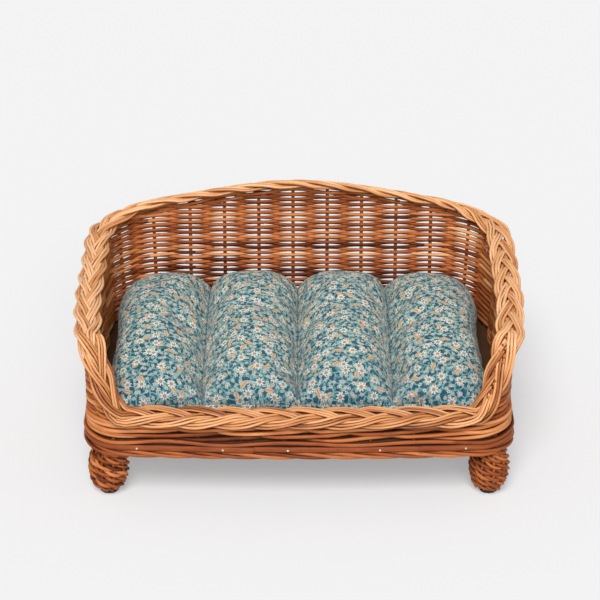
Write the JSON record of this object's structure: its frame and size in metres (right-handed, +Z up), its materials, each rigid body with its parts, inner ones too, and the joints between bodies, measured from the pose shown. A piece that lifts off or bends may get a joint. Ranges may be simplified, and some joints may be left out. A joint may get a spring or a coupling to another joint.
{
  "type": "wicker pet bed basket",
  "caption": "Small woven willow sofa-shaped pet bed on ball feet, with a plaited border, open low front and a loose channelled cushion that lifts out.",
  "frame": {"origin": "on the floor, under the middle of the box round the basket", "axes": "+X to the right seen from the open front, +Y from the open front to the back, +Z up"},
  "size_m": [0.6084, 0.4541, 0.292],
  "materials": {
    "willow": "steamed and peeled willow rods under a thin satin varnish",
    "plywood": "bare sanded plywood",
    "turned_wood": "bare turned dowel",
    "black_plastic": "black moulded plastic",
    "printed_cotton": "plain-weave cotton with a small floral print",
    "fibre_fill": "loose polyester fibre"
  },
  "bodies": {
    "basket": {"back_left_ball_foot": "willow", "back_left_glide": "black_plastic", "back_left_leg": "turned_wood", "back_right_ball_foot": "willow", "back_right_glide": "black_plastic", "back_right_leg": "turned_wood", "back_stake_1": "willow", "back_stake_10": "willow", "back_stake_2": "willow", "back_stake_3": "willow", "back_stake_4": "willow", "back_stake_5": "willow", "back_stake_6": "willow", "back_stake_7": "willow", "back_stake_8": "willow", "back_stake_9": "willow", "base_board": "plywood", "base_hoop": "willow", "border_strand_1": "willow", "border_strand_2": "willow", "border_strand_3": "willow", "border_strand_4": "willow", "border_strand_5": "willow", "bottom_border": "willow", "front_left_ball_foot": "willow", "front_left_glide": "black_plastic", "front_left_leg": "turned_wood", "front_right_ball_foot": "willow", "front_right_glide": "black_plastic", "front_right_leg": "turned_wood", "front_stake_1": "willow", "front_stake_10": "willow", "front_stake_2": "willow", "front_stake_3": "willow", "front_stake_4": "willow", "front_stake_5": "willow", "front_stake_6": "willow", "front_stake_7": "willow", "front_stake_8": "willow", "front_stake_9": "willow", "left_stake_1": "willow", "left_stake_2": "willow", "left_stake_3": "willow", "left_stake_4": "willow", "left_stake_5": "willow", "left_stake_6": "willow", "left_stake_7": "willow", "right_stake_1": "willow", "right_stake_2": "willow", "right_stake_3": "willow", "right_stake_4": "willow", "right_stake_5": "willow", "right_stake_6": "willow", "waling": "willow", "wall_weave": "willow"},
    "cushion": {"cushion_cover": "printed_cotton", "cushion_fill_1": "fibre_fill", "cushion_fill_2": "fibre_fill", "cushion_fill_3": "fibre_fill", "cushion_fill_4": "fibre_fill"}
  },
  "joints": [
    {"name": "cushion_lift", "type": "slide", "parent": "basket", "child": "cushion", "axis": [0, 0, 1], "range_m": [0, 0.22]}
  ]
}
